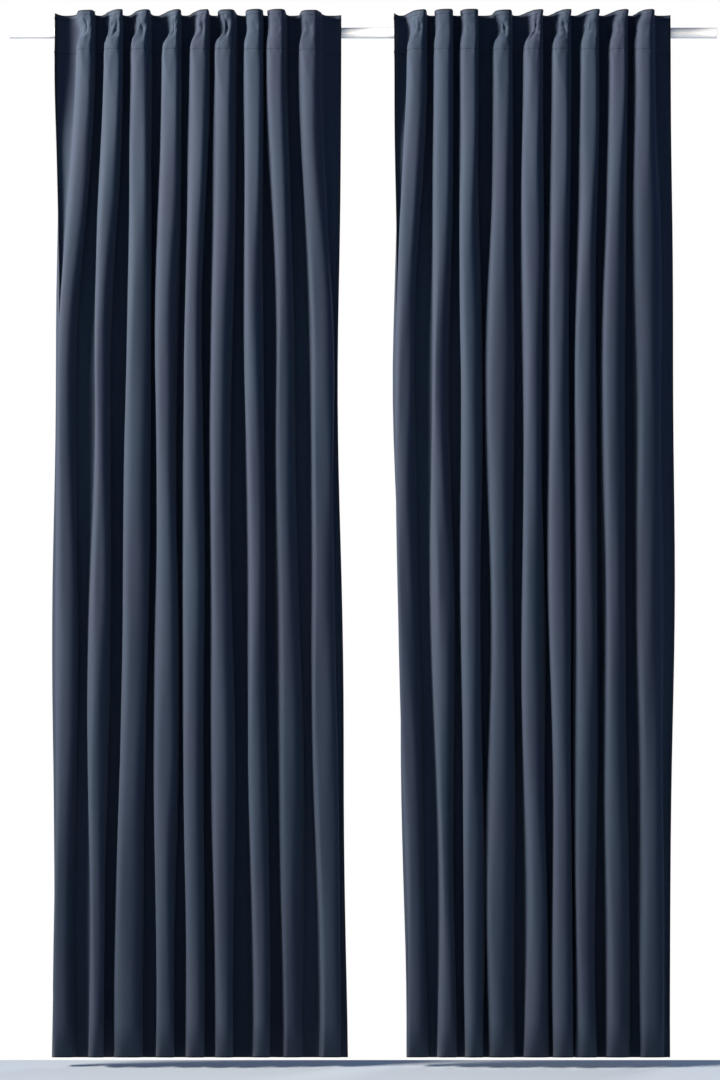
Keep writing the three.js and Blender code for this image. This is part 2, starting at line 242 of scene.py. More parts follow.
def shell(name, middle, thickness, flat, material):
    """A closed sheet about a middle grid (rows, columns, 3): thickness is a number or a grid, flat the UV grid."""
    rows, columns = middle.shape[:2]
    push = grid_normals(middle) * np.broadcast_to(np.asarray(thickness, float), (rows, columns))[..., None] / 2
    count = rows * columns
    vertices = np.concatenate([(middle - push).reshape(-1, 3), (middle + push).reshape(-1, 3)])
    index = np.arange(count).reshape(rows, columns)
    rim = np.concatenate([index[0, :-1], index[:-1, -1], index[-1, :0:-1], index[:0:-1, 0]])
    after = np.roll(rim, -1)
    sides = np.stack([rim, after, after + count, rim + count], axis=-1)
    faces = np.concatenate([
        grid_quads(rows, columns),
        grid_quads(rows, columns, count, turned=True),
        sides,
    ])
    uv = np.concatenate([flat.reshape(-1, 2)] * 2)
    return mesh_piece(name, vertices, faces, uv, material)


def flat_pattern(s, z, low):
    """The UV grid of a sheet: the place across the cloth, and the height above its low edge."""
    return np.stack(np.broadcast_arrays(s[None, :], (z - low)[:, None]), axis=-1)


print("a grid of 4 rows and 5 columns has", len(grid_quads(4, 5)), "quads")

# %% [markdown]
# ## How a panel hangs
# Seen from above, the cloth is a line that runs forward over each front fold and back to the next loop. It is
# fixed by a few places that a curtain hanger would set by hand: where each loop is, and where the ridge of each
# front fold stands in the header, about a third of the way down and at the hem. These places are the knots.
# Between a loop and a ridge the line is a smooth curve that leaves each end level with the rod. A cloth simulation
# could find folds too, but not these ones. The depth of the folds isn't chosen: it is solved at every height so
# that the line is as long as the cloth is wide.

# %% Panel layout
PANEL_WIDTH = 1.450
CLOTH_THICKNESS = 0.0008
FOLDS = 9
KNOTS = 2 * FOLDS + 3
RIDGES, VALLEYS = slice(2, -2, 2), slice(1, -1, 2)
VALLEY_BEFORE, VALLEY_AFTER = slice(1, -3, 2), slice(3, None, 2)
MID_SHARE = 0.32

# In millimetres from mid-rod: ridges of the front folds, valleys between them with the two end ones, and the
# two side edges. The header's valleys are its loops. Roundness is how far a ridge carries on level before the
# cloth turns back, on its left and its right. Waist is how far the loops draw each fold in, in the header, and
# creased is how strongly that crumples it. Fullness is how deep each fold stays below the header, of 1. Top lean
# is how far each ridge leans over above the rod, of 1. Flaps are the loose cloth outside the end loops, in metres.
LAYOUT = {
    "left": {
        "header": {
            "ridges": [-654, -586, -523, -448, -382, -322, -252, -200, -122],
            "edges": [-736, -52],
        },
        "middle": {
            "ridges": [-710, -626, -541, -467, -403, -342, -260, -192, -112],
            "valleys": [-738, -674, -589, -507, -430, -375, -303, -231, -150, -70],
            "edges": [-724, -58],
        },
        "hem": {
            "ridges": [-714, -633, -563, -464, -396, -329, -242, -176, -92],
            "valleys": [-737, -669, -606, -519, -436, -368, -298, -213, -122, -52],
            "edges": [-728, -37],
        },
        "left_roundness": [1.26, 1.15, 1.72, 2.07, 1.84, 1.72, 1.49, 1.09, 0.92],
        "right_roundness": [1.88, 1.75, 2.88, 1.75, 1.75, 1.88, 1.75, 2.0, 2.88],
        "waist": [13, 8, 8, 17, 12, 15, 6, 4, 5],
        "creased": [0.9, 1.0, 0.8, 1.0, 0.6, 1.0, 0.25, 0.25, 0.4],
        "fullness": [0.58, 0.92, 1.0, 1.0, 1.0, 1.0, 0.95, 0.80, 0.60],
        "top_lean": [0.2, 1.0, 0.9, 1.0, 1.0, 0.4, 0.2, 0.2, 0.3],
        "flaps": (0.014, 0.026),
    },
    "right": {
        "header": {
            "ridges": [136, 201, 262, 340, 414, 481, 549, 617, 678],
            "edges": [75, 737],
        },
        "middle": {
            "ridges": [90, 178, 251, 322, 399, 463, 527, 588, 667],
            "valleys": [76, 135, 222, 292, 371, 434, 499, 561, 636, 728],
            "edges": [82, 744],
        },
        "hem": {
            "ridges": [119, 196, 258, 320, 404, 471, 521, 594, 676],
            "valleys": [104, 165, 230, 294, 371, 449, 497, 562, 641, 720],
            "edges": [108, 730],
        },
        "left_roundness": [1.26, 1.03, 1.38, 1.95, 1.61, 1.84, 1.84, 1.49, 1.49],
        "right_roundness": [1.88, 1.75, 1.88, 2.12, 1.88, 1.88, 2.0, 2.0, 2.25],
        "waist": [12, 4, 5, 14, 15, 11, 8, 9, 5],
        "creased": [0.6, 0.15, 0.2, 0.8, 1.0, 0.8, 0.5, 0.3, 0.15],
        "fullness": [0.55, 0.82, 1.0, 1.0, 1.0, 1.0, 1.0, 1.0, 0.85],
        "top_lean": [0.8, 0.1, 0.1, 0.3, 1.0, 1.0, 1.0, 1.0, 0.9],
        "flaps": (0.012, 0.022),
    },
}


def loop_names(side):
    """A panel's loops from the lowest X to the highest. They are numbered inwards from the outermost."""
    numbers = range(1, FOLDS + 2) if side == "left" else range(FOLDS + 1, 0, -1)
    return [f"{side}_panel_loop_{n}" for n in numbers]


def loop_places(side):
    """The middle of each loop along X, in metres."""
    return np.array([(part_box(n)[0][0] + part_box(n)[1][0]) / 2 for n in loop_names(side)])


print("left loops", loop_places("left").round(3))

# %% Knots
TOP_LEAN = 0.009


def eased(z, header, middle, hem):
    """A value at each height z: the header's down to the tape, easing to the middle's and then to the hem's."""
    drop = (TAPE_LOW_Z - z)[:, None] / (TAPE_LOW_Z - HEM_Z)
    to_middle = smooth(drop / MID_SHARE)
    to_hem = smooth((drop - MID_SHARE) / (1 - MID_SHARE))
    header, middle, hem = (np.asarray(v, float) for v in (header, middle, hem))
    return (header + (middle - header) * to_middle) * (1 - to_hem) + hem * to_hem


def above_rod(z):
    """0 at the rod and 1 at the top edge, as a column for a list of heights."""
    return smooth(z / TOP_Z)[:, None]


def knots(side, z):
    """Where the edges, valleys and ridges are at each height: X places as (rows, KNOTS), in order along the cloth.
    The ridges lean over to the right above the rod, each by its own share of TOP_LEAN."""
    plan = LAYOUT[side]
    header, middle, hem = plan["header"], plan["middle"], plan["hem"]
    x = np.zeros((len(z), KNOTS))
    x[:, [0, -1]] = eased(z, header["edges"], middle["edges"], hem["edges"]) * MM
    x[:, VALLEYS] = eased(z, loop_places(side) / MM, middle["valleys"], hem["valleys"]) * MM
    x[:, RIDGES] = eased(z, header["ridges"], middle["ridges"], hem["ridges"]) * MM
    x[:, RIDGES] += TOP_LEAN * np.array(plan["top_lean"]) * above_rod(z)
    return x


def cloth_places(side):
    """Where the knots are on the flat cloth, from its low edge: the loops are sewn at even spacings."""
    low, high = LAYOUT[side]["flaps"]
    spacing = (PANEL_WIDTH - low - high) / FOLDS
    s = np.zeros(KNOTS)
    s[1:-1] = low + spacing / 2 * np.arange(KNOTS - 2)
    s[-1] = PANEL_WIDTH
    return s


def span_places(side, s):
    """For each flat place: which span between two knots it is in, how far along it from 0 to 1, and its length."""
    s_knots = cloth_places(side)
    span = np.clip(np.searchsorted(s_knots, s, side="right") - 1, 0, KNOTS - 2)
    length = s_knots[span + 1] - s_knots[span]
    return span, (s - s_knots[span]) / length, length


print("cloth from loop to loop", round(float(cloth_places("left")[3] - cloth_places("left")[1]), 4))

# %% Roundness of the folds
HEADER_ROUNDNESS = (2.5, 1.1)
VALLEY_ROUNDNESS, VALLEY_LIMITS = 1.0, (0.9, 2.9)
USUAL_RISE, ROUNDER_PER_RISE = 0.032, 1.8
LEAN_BEFORE, LEAN_AFTER, LEAN_VALLEY = 1.3, 0.5, 0.85


def roundness(side, z, x_knots):
    """How far the line carries on level before and after each knot, as shares of the span on that side. A valley is
    rounder when its ridge stands further off than usual. A ridge that leans over above the rod is sharper."""
    plan = LAYOUT[side]
    before = np.full((len(z), KNOTS), VALLEY_ROUNDNESS)
    after = np.full((len(z), KNOTS), VALLEY_ROUNDNESS)
    rise = x_knots[:, RIDGES] - x_knots[:, VALLEY_BEFORE]
    valley = VALLEY_ROUNDNESS + ROUNDER_PER_RISE * (rise / USUAL_RISE - 1)
    after[:, VALLEY_BEFORE] = np.clip(valley, *VALLEY_LIMITS)
    header_left, header_right = ([value] * FOLDS for value in HEADER_ROUNDNESS)
    before[:, RIDGES] = eased(z, header_left, plan["left_roundness"], plan["left_roundness"])
    after[:, RIDGES] = eased(z, header_right, plan["right_roundness"], plan["right_roundness"])
    lean = np.array(plan["top_lean"]) * above_rod(z)
    before[:, RIDGES] -= LEAN_BEFORE * lean
    after[:, RIDGES] -= LEAN_AFTER * lean
    after[:, VALLEY_BEFORE] *= 1 - LEAN_VALLEY * lean
    return before, after


TEST_HEIGHTS = np.array([TOP_Z, 0, TAPE_LOW_Z, -0.5, -1.2, HEM_Z])
left_before, _ = roundness("left", TEST_HEIGHTS, knots("left", TEST_HEIGHTS))
print("roundness before the left panel's ridges at the hem", left_before[-1, RIDGES].round(2))

# %% Fold curves
LEAST_DEPTH_SHARE = 0.04
FLANK_POWER = 1.2
FLAP_CURL, FLAP_POWERS = (0.022, 0.005), (1.5, 2)
CURL_LOSS, CURL_FADE = 0.7, 0.25


def ridge_depths(side, z, x_knots, depth):
    """How far forward each knot stands, for a depth of fold at each height: 0 but at the ridges. A fold of a given
    width of cloth is deeper where its two loops are closer, as the sides of a triangle would be."""
    s_knots = cloth_places(side)
    pitch = np.abs(x_knots[:, VALLEY_AFTER] - x_knots[:, VALLEY_BEFORE])
    share = np.sqrt(np.maximum(1 - (pitch / (s_knots[3] - s_knots[1])) ** 2, LEAST_DEPTH_SHARE))
    fullness = eased(z, [1] * FOLDS, LAYOUT[side]["fullness"], LAYOUT[side]["fullness"])
    forward = np.zeros_like(x_knots)
    forward[:, RIDGES] = share * fullness * depth[:, None]
    return forward


def flap_curl(span, t, z):
    """How far the loose cloth at the two side edges curls forward: most at the edge, and less below the header."""
    low = FLAP_CURL[0] * (1 - t) ** FLAP_POWERS[0]
    high = FLAP_CURL[1] * t ** FLAP_POWERS[1]
    curl = np.where(span == 0, low, np.where(span == KNOTS - 2, high, 0))
    return curl * (1 - CURL_LOSS * smooth((TAPE_LOW_Z - z) / CURL_FADE))[:, None]


def fold_curve(side, s, z, depth):
    """The cloth's line at flat places s and heights z, for a depth of fold at each height: X, and how far forward.
    Between two knots X is a cubic whose end slopes lie along the rod: longer slopes make rounder folds. The way
    forward eases from 0 at a valley to the ridge's depth, by three t squared less two t cubed, to a power."""
    x_knots = knots(side, z)
    span, t, length = span_places(side, s)
    before, after = roundness(side, z, x_knots)
    forward = ridge_depths(side, z, x_knots, depth)
    a, b = x_knots[:, span], x_knots[:, span + 1]
    slope_a, slope_b = after[:, span] * length, before[:, span + 1] * length
    ease = t * t * (3 - 2 * t)
    x = a + (b - a) * ease + slope_a * (t - 2 * t**2 + t**3) + slope_b * (t**3 - t**2)
    is_ridge = np.zeros(KNOTS, bool)
    is_ridge[RIDGES] = True
    from_valley = np.where(is_ridge[span + 1], ease, np.where(is_ridge[span], 1 - ease, 0))
    reach = np.maximum(forward[:, span], forward[:, span + 1])
    return x, reach * from_valley**FLANK_POWER + flap_curl(span, t, z)


print("curl of the left panel's low edge in the header", FLAP_CURL[0])

# %% Depth of the folds
DEEPEST, HALVINGS, LENGTH_PLACES = 0.12, 18, 400


def solve_depth(side, z):
    """The depth of fold at each height at which the line is as long as the cloth is wide, found by halving."""
    s = np.linspace(0, PANEL_WIDTH, LENGTH_PLACES)
    low, high = np.zeros(len(z)), np.full(len(z), DEEPEST)
    for _ in range(HALVINGS):
        depth = (low + high) / 2
        x, forward = fold_curve(side, s, z, depth)
        length = np.hypot(np.diff(x, axis=1), np.diff(forward, axis=1)).sum(axis=1)
        low = np.where(length < PANEL_WIDTH, depth, low)
        high = np.where(length < PANEL_WIDTH, high, depth)
    return (low + high) / 2


for side in SIDES:
    print(side, "fold depth by height", solve_depth(side, TEST_HEIGHTS).round(4))

# %% [markdown]
# ## What the loops do to the header
# Each loop pulls a loop's width of cloth flat against the rod. Just beside it the front fold is drawn in to a
# waist, and small creases fan out from the waist. Further down the folds wander a little, as heavy cloth does.
# Creases could be left to a bump in the finish, but they break the folds' outline, so they are in the surface.

# %% Crease sizes
WAIST_Z, WAIST_HEIGHT = -0.004, 0.026
SEAM_INSET = 0.002
CREASE_SEEDS = {"left": 3, "right": 5}

# Nested crescents beside each waist: where each one stands on the fold, in shares of a span from the ridge, how far
# it bows, how far it reaches up and down in metres, and its size in millimetres.
CRESCENTS = ((-0.36, 0.22, 0.024, 5.5), (-0.20, 0.30, 0.030, 5.5), (-0.02, 0.24, 0.024, 4.5))
CRESCENT_SHIFT, CRESCENT_LIFT = 0.06, 0.010
CRESCENT_BOW_HEIGHT, CRESCENT_BOW_POWER, CRESCENT_SHARPNESS = 0.045, 1.6, 0.050

# Thin lines that run on down from the waist: where each starts, how far it leans, and its size in millimetres.
LINES = ((-0.30, -0.30, 4.0), (-0.12, 0.05, 3.0), (0.06, 0.25, 2.4))
LINE_SHIFT, LINE_LEAN_HEIGHT, LINE_START = 0.08, 0.16, 0.03
LINE_LENGTHS, LINE_LEAST, LINE_SHARPNESS = (0.035, 0.06), 0.2, 0.055

# Crossing folds: how many, how far apart their crests are, how far they are turned, and where they are on a fold.
CRUMPLES, CRUMPLE_LENGTHS, CRUMPLE_TILT, CRUMPLE_SIZE = 5, (0.013, 0.026), 1.2, 0.0016
CRUMPLE_BELOW, CRUMPLE_HEIGHT, CRUMPLE_LEFT, CRUMPLE_WIDTH = 0.004, 0.028, 0.12, 0.30

# Each seam's height and how far down from it the puckers reach.
PUCKERED_SEAMS = ((TAPE_LOW_Z + SEAM_INSET, 0.009), (TAPE_HIGH_Z - SEAM_INSET, 0.006))
SEAM_GROOVE, PUCKER_SIZE, PUCKER_PITCH, PUCKER_STRETCH = 0.0022, 0.0007, 0.013, ((5, 0.05), (3, 0.017))

UNEVEN_WAVES, UNEVEN_SIZE, UNEVEN_ACROSS, UNEVEN_DOWN = 8, 0.00026, (0.016, 0.045), (0.25, 0.9)
print("waist at", WAIST_Z, "with", len(CRESCENTS), "crescents and", len(LINES), "lines on each fold")

# %% Creases


def waves(s, rows, length_s, length_z, phase_s, phase_z):
    """A product of two sines, one across the cloth and one down it."""
    return np.sin(2 * np.pi * s / length_s + phase_s) * np.sin(2 * np.pi * rows / length_z + phase_z)


def waist_creases(rng, from_ridge, rise, fold, strength):
    """The crescents and the lines below them. A crescent is a sharp ridge along a line that bows away from the
    fold's ridge by the height above the waist to a power. A line fades away downwards. Each is shifted a little
    from fold to fold."""
    push = np.zeros(np.broadcast_shapes(rise.shape, from_ridge.shape))
    for start, bow, reach, size in CRESCENTS:
        shift = rng.uniform(-CRESCENT_SHIFT, CRESCENT_SHIFT, FOLDS)[fold]
        lift = rng.uniform(-CRESCENT_LIFT, CRESCENT_LIFT, FOLDS)[fold]
        line = start + shift - bow * np.abs((rise - lift) / CRESCENT_BOW_HEIGHT) ** CRESCENT_BOW_POWER
        sharp = np.exp(-np.abs(from_ridge - line) / CRESCENT_SHARPNESS)
        push += size * MM * strength * sharp * bell(rise, reach)
    for start, lean, size in LINES:
        place = start + rng.uniform(-LINE_SHIFT, LINE_SHIFT, FOLDS)[fold] + lean * rise / LINE_LEAN_HEIGHT
        length = LINE_LENGTHS[0] + LINE_LENGTHS[1] * rng.uniform(0, 1, FOLDS)[fold]
        fade = smooth(-rise / LINE_START) * np.exp(rise / length)
        sharp = np.exp(-np.abs(from_ridge - place) / LINE_SHARPNESS)
        push -= size * MM * (LINE_LEAST + (1 - LINE_LEAST) * strength) * fade * sharp
    return push


def waist_crumple(rng, s, rows, from_ridge, rise, strength):
    """Crossing folds about a waist: for each of a few directions, the size of a sine along it."""
    near = bell(rise + CRUMPLE_BELOW, CRUMPLE_HEIGHT) * bell(from_ridge + CRUMPLE_LEFT, CRUMPLE_WIDTH)
    push = np.zeros(near.shape)
    for _ in range(CRUMPLES):
        length, tilt = rng.uniform(*CRUMPLE_LENGTHS), rng.uniform(-CRUMPLE_TILT, CRUMPLE_TILT)
        along = (s * np.cos(tilt) + rows * np.sin(tilt)) / length
        push += CRUMPLE_SIZE * strength * near * np.abs(np.sin(np.pi * along + rng.uniform(0, np.pi)))
    return push


def seam_puckers(s, rows):
    """A groove along each seam, and puckers below it, whose spacing is a sine wave stretched by two slower ones."""
    stretch = sum(size * np.sin(s / length) for size, length in PUCKER_STRETCH)
    pucker = 0.5 + 0.5 * np.sin(2 * np.pi * s / PUCKER_PITCH + stretch)
    push = 0
    for seam, length in PUCKERED_SEAMS:
        groove = bell(rows - seam, SEAM_GROOVE)
        push = push + PUCKER_SIZE * (groove + pucker * bell(rows - seam + length / 3, length))
    return push


def creases(side, s, z, span, t):
    """How far the surface is pushed towards the wall by small creases: those about each waist, the puckers along
    the sewing, and a faint unevenness everywhere."""
    rows = z[:, None]
    rise = rows - WAIST_Z
    fold = np.clip((span - 1) // 2, 0, FOLDS - 1)
    from_ridge = np.where(span % 2 == 1, t - 1, t)
    on_fold = ((span > 0) & (span < KNOTS - 2)).astype(float)
    creased = np.array(LAYOUT[side]["creased"])[fold]
    rng = np.random.default_rng(CREASE_SEEDS[side])
    push = waist_creases(rng, from_ridge, rise, fold, creased) * on_fold
    push += waist_crumple(rng, s, rows, from_ridge, rise, creased) * on_fold
    push += seam_puckers(s, rows)
    for _ in range(UNEVEN_WAVES):
        length_s, length_z = rng.uniform(*UNEVEN_ACROSS), rng.uniform(*UNEVEN_DOWN)
        phase_s, phase_z = rng.uniform(0, 2 * np.pi, 2)
        push += UNEVEN_SIZE * waves(s, rows, length_s, length_z, phase_s, phase_z)
    return push


across = np.linspace(0, PANEL_WIDTH, LENGTH_PLACES)
deepest = np.abs(creases("left", across, TEST_HEIGHTS, *span_places("left", across)[:2])).max()
print("deepest crease at the heights tried", round(float(deepest), 4))

# %% Panel surface
CLOTH_INSET = 0.0005
CLOTH_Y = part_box("left_panel_fold_5")[1][1] - CLOTH_INSET
SETTLE_BACK, SETTLE_DROP = 0.012, 0.9
SWAY_SEEDS, SWAY_WAVES, SWAY_SIZE, SWAY_START = {"left": 7, "right": 11}, 5, 0.0022, 0.5
SWAY_ACROSS, SWAY_DOWN = (0.10, 0.30), (0.6, 1.6)
HEM_LIFT, HEM_LIFT_DEPTH, HEM_LIFT_START = 0.006, 0.062, 0.3

# This makes the highest point of the hump 1.
HUMP = 27 / 4


def panel_surface(side, s, z, behind=0.0):
    """The middle surface of the cloth as a (rows, columns, 3) grid, or of what lies behind it by a distance. The
    cloth is drawn in beside each loop by a hump of t squared times one less t, sways a little further down, settles
    back towards the wall, and lifts at the hem where a fold stands forward."""
    x, forward = fold_curve(side, s, z, solve_depth(side, z))
    span, t, _ = span_places(side, s)
    rows = z[:, None]
    pinch = np.zeros(KNOTS - 1)
    pinch[1:-1:2] = np.array(LAYOUT[side]["waist"]) * MM
    x = x + pinch[span] * HUMP * t**2 * (1 - t) * bell(rows - WAIST_Z, WAIST_HEIGHT)
    rng = np.random.default_rng(SWAY_SEEDS[side])
    down = smooth((TAPE_LOW_Z - rows) / SWAY_START)
    for _ in range(SWAY_WAVES):
        length_s, length_z = rng.uniform(*SWAY_ACROSS), rng.uniform(*SWAY_DOWN)
        phase_s, phase_z = rng.uniform(0, 2 * np.pi, 2)
        x = x + SWAY_SIZE * down * waves(s, rows, length_s, length_z, phase_s, phase_z)
    y = CLOTH_Y - forward + SETTLE_BACK * smooth((TAPE_LOW_Z - rows) / SETTLE_DROP)
    near_hem = smooth((HEM_Z + HEM_LIFT_START - rows) / HEM_LIFT_START)
    points = np.stack([x, y, rows + HEM_LIFT * forward / HEM_LIFT_DEPTH * near_hem], axis=-1)
    points = points + grid_normals(points) * creases(side, s, z, span, t)[..., None]
    if behind:
        points = points + grid_normals(points) * behind
    return points


print("the valleys of the cloth lie at Y", round(CLOTH_Y, 4))

# %% Rows down the drop
HEADER_STEP, HEADER_MARGIN = 0.0024, 0.020
SPREAD_STEPS, TAIL_ROWS = np.geomspace(0.0035, 0.055, 20), 24


def drop_rows(top, low):
    """Heights from top to low: close together through the header and wider apart down the drop."""
    header = np.arange(top, TAPE_LOW_Z - HEADER_MARGIN, -HEADER_STEP)
    spreading = header[-1] - SPREAD_STEPS.cumsum()
    tail = np.linspace(spreading[-1], low, TAIL_ROWS)[1:]
    return np.concatenate([header, spreading, tail])


print(len(drop_rows(TOP_Z, HEM_Z)), "rows down the drop")

# %% [markdown]
# ## Finishes
# The cloth is a closely woven dark blue twill that lets no light through. Up close it is a grid of threads, each
# one a little lighter or darker than its neighbours, with a soft bloom where the fibres catch the light edge-on.
# A picture of the weave could be laid on it, but a pattern worked out in the shader stays sharp from close by.

# %% Node helpers


def maths(tree, operation, a, b=None):
    """A Math node. Each operand is a number or a socket."""
    node = tree.nodes.new("ShaderNodeMath")
    node.operation = operation
    for slot, value in enumerate([a] if b is None else [a, b]):
        if isinstance(value, (int, float)):
            node.inputs[slot].default_value = value
        else:
            tree.links.new(value, node.inputs[slot])
    return node.outputs[0]


def noise(tree, vector, scale, detail=2.0):
    """A Noise Texture's value at a scale."""
    node = tree.nodes.new("ShaderNodeTexNoise")
    node.inputs["Scale"].default_value = scale
    node.inputs["Detail"].default_value = detail
    tree.links.new(vector, node.inputs["Vector"])
    return node.outputs["Fac"]


def stretched(tree, coords, scale):
    """Coordinates through a scale."""
    mapping = tree.nodes.new("ShaderNodeMapping")
    mapping.inputs["Scale"].default_value = scale
    tree.links.new(coords, mapping.inputs["Vector"])
    return mapping.outputs[0]


def coordinates(tree, kind):
    """The UV or the Object coordinates."""
    return tree.nodes.new("ShaderNodeTexCoord").outputs[kind]


def axes(tree, coords):
    """The X, Y and Z of coordinates, as three sockets."""
    split = tree.nodes.new("ShaderNodeSeparateXYZ")
    tree.links.new(coords, split.inputs[0])
    return split.outputs


print("node helpers:", ", ".join(f.__name__ for f in (maths, noise, stretched, coordinates, axes)))

# %% Colour and bump helpers


def colour_ramp(tree, value, stops):
    """A Color Ramp from (position, colour) pairs."""
    ramp = tree.nodes.new("ShaderNodeValToRGB")
    while len(ramp.color_ramp.elements) < len(stops):
        ramp.color_ramp.elements.new(0.5)
    for element, (position, colour) in zip(ramp.color_ramp.elements, stops):
        element.position = position
        element.color = (*colour, 1)
    tree.links.new(value, ramp.inputs["Fac"])
    return ramp.outputs["Color"]


def scaled(colour, factor):
    """A colour times a number, or channel by channel times three numbers."""
    return tuple((np.array(colour) * factor).tolist())


def mixed(tree, share, a, b):
    """A colour mix: a where share is 0 and b where it is 1. Each is a colour or a socket."""
    node = tree.nodes.new("ShaderNodeMix")
    node.data_type = "RGBA"
    tree.links.new(share, node.inputs["Factor"])
    for socket, value in zip((node.inputs[6], node.inputs[7]), (a, b)):
        if isinstance(value, tuple):
            socket.default_value = (*value, 1)
        else:
            tree.links.new(value, socket)
    return node.outputs[2]


def bump(tree, height, strength, distance):
    """A Bump node's normal."""
    node = tree.nodes.new("ShaderNodeBump")
    node.inputs["Strength"].default_value = strength
    node.inputs["Distance"].default_value = distance
    tree.links.new(height, node.inputs["Height"])
    return node.outputs["Normal"]


def new_material(name, roughness, metallic=0.0):
    """A material with its Principled BSDF, and that node."""
    material = bpy.data.materials.new(name)
    material.use_nodes = True
    shader = material.node_tree.nodes["Principled BSDF"]
    shader.inputs["Roughness"].default_value = roughness
    shader.inputs["Metallic"].default_value = metallic
    return material, shader


print("half of a pale grey is", scaled((0.8, 0.8, 0.8), 0.5))

# %% Weave
THREADS_PER_METRE, SHADES_PER_METRE = 900, 14


def new_group(name, inputs, outputs):
    """An empty shader node group with (name, default) inputs and named outputs, all of them values."""
    group = bpy.data.node_groups.new(name, "ShaderNodeTree")
    for label, value in inputs:
        socket = group.interface.new_socket(label, in_out="INPUT", socket_type="NodeSocketFloat")
        socket.default_value = value
    for label in outputs:
        group.interface.new_socket(label, in_out="OUTPUT", socket_type="NodeSocketFloat")
    return group, group.nodes.new("NodeGroupInput"), group.nodes.new("NodeGroupOutput")


def twill_group():
    """Twill weave from the flat pattern: height is high on the threads that lie on top, and shade varies from
    thread to thread. Warp threads run along V and weft along U, and each row of crossings is shifted by one."""
    group, given, result = new_group("twill weave", [("Pitch", 0.0006)], ["Height", "Shade"])
    uv = coordinates(group, "UV")
    across, along, _ = axes(group, uv)
    u = maths(group, "DIVIDE", across, given.outputs["Pitch"])
    v = maths(group, "DIVIDE", along, given.outputs["Pitch"])
    warp = maths(group, "ABSOLUTE", maths(group, "SINE", maths(group, "MULTIPLY", u, np.pi)))
    diagonal = maths(group, "MULTIPLY", maths(group, "ADD", u, v), 2 * np.pi / 3)
    over = maths(group, "MULTIPLY", maths(group, "ADD", maths(group, "SINE", diagonal), 1.0), 0.5)
    group.links.new(maths(group, "MULTIPLY", warp, over), result.inputs["Height"])
    warp_shade = noise(group, stretched(group, uv, (THREADS_PER_METRE, SHADES_PER_METRE, 1)), 1.0)
    weft_shade = noise(group, stretched(group, uv, (SHADES_PER_METRE, THREADS_PER_METRE, 1)), 1.0)
    shade = maths(group, "MULTIPLY", maths(group, "ADD", warp_shade, weft_shade), 0.5)
    group.links.new(shade, result.inputs["Shade"])
    return group


TWILL = twill_group()
print(TWILL.name, "group with", len(TWILL.nodes), "nodes")

# %% Sewing
STITCH_ROW_HALVES = (0.0009, 0.0008)
STITCH_LENGTH, STITCH_SHARE = 0.0035, 0.8


def band(tree, value, centre, half):
    """1 where a value is within half of a centre, 0 elsewhere."""
    return maths(tree, "LESS_THAN", maths(tree, "ABSOLUTE", maths(tree, "SUBTRACT", value, centre)), half)


def sewing_and_shaded_rim_group():
    """Two rows of machine stitches across the cloth, given by their heights above the hem, and painted shade along
    the turned rim.
    Stitch is 1 on the thread. Shaded rim is 1 on the outermost strip, where the cloth turns over on itself; it
    marks painted shade, a dark edge."""
    inputs = [("Lower", 2.4), ("Upper", 2.5), ("Width", 1.45), ("Length", 2.5), ("Rim", 0.003)]
    group, given, result = new_group("sewing", inputs, ["Stitch", "Rim"])
    u, v, _ = axes(group, coordinates(group, "UV"))
    rows = maths(group, "MAXIMUM",
                 band(group, v, given.outputs["Lower"], STITCH_ROW_HALVES[0]),
                 band(group, v, given.outputs["Upper"], STITCH_ROW_HALVES[1]))
    along = maths(group, "FRACT", maths(group, "DIVIDE", u, STITCH_LENGTH))
    on_thread = maths(group, "LESS_THAN", along, STITCH_SHARE)
    group.links.new(maths(group, "MULTIPLY", rows, on_thread), result.inputs["Stitch"])
    across = maths(group, "MINIMUM", u, maths(group, "SUBTRACT", given.outputs["Width"], u))
    down = maths(group, "MINIMUM", v, maths(group, "SUBTRACT", given.outputs["Length"], v))
    nearest = maths(group, "MINIMUM", across, down)
    group.links.new(maths(group, "LESS_THAN", nearest, given.outputs["Rim"]), result.inputs["Rim"])
    return group


SEWING_AND_SHADED_RIM = sewing_and_shaded_rim_group()
print(SEWING_AND_SHADED_RIM.name, "group with", len(SEWING_AND_SHADED_RIM.nodes), "nodes")

# %% Cloth finishes
CLOTH_ROUGHNESS, CLOTH_SPECULAR = 0.82, 0.25
SHEEN_ROUGHNESS, SHEEN_TINT = 0.45, (0.80, 0.86, 1.0, 1)
CAST_STRETCH, CAST_SCALE, CAST_DETAIL = (1, 0.25, 1), 9.0, 1.0
VIOLET_CAST, TEAL_CAST = (1.12, 0.93, 1.00), (0.86, 1.02, 1.00)
# The first of these is the painted shade on the cloth's outermost strip, as a share of the dark colour.
RIM_PAINTED_SHADE, STITCH_SHADE, STITCH_HEIGHT = 0.22, 0.5, 2.0
WEAVE_BUMP, WEAVE_DEPTH = 0.35, 0.0002


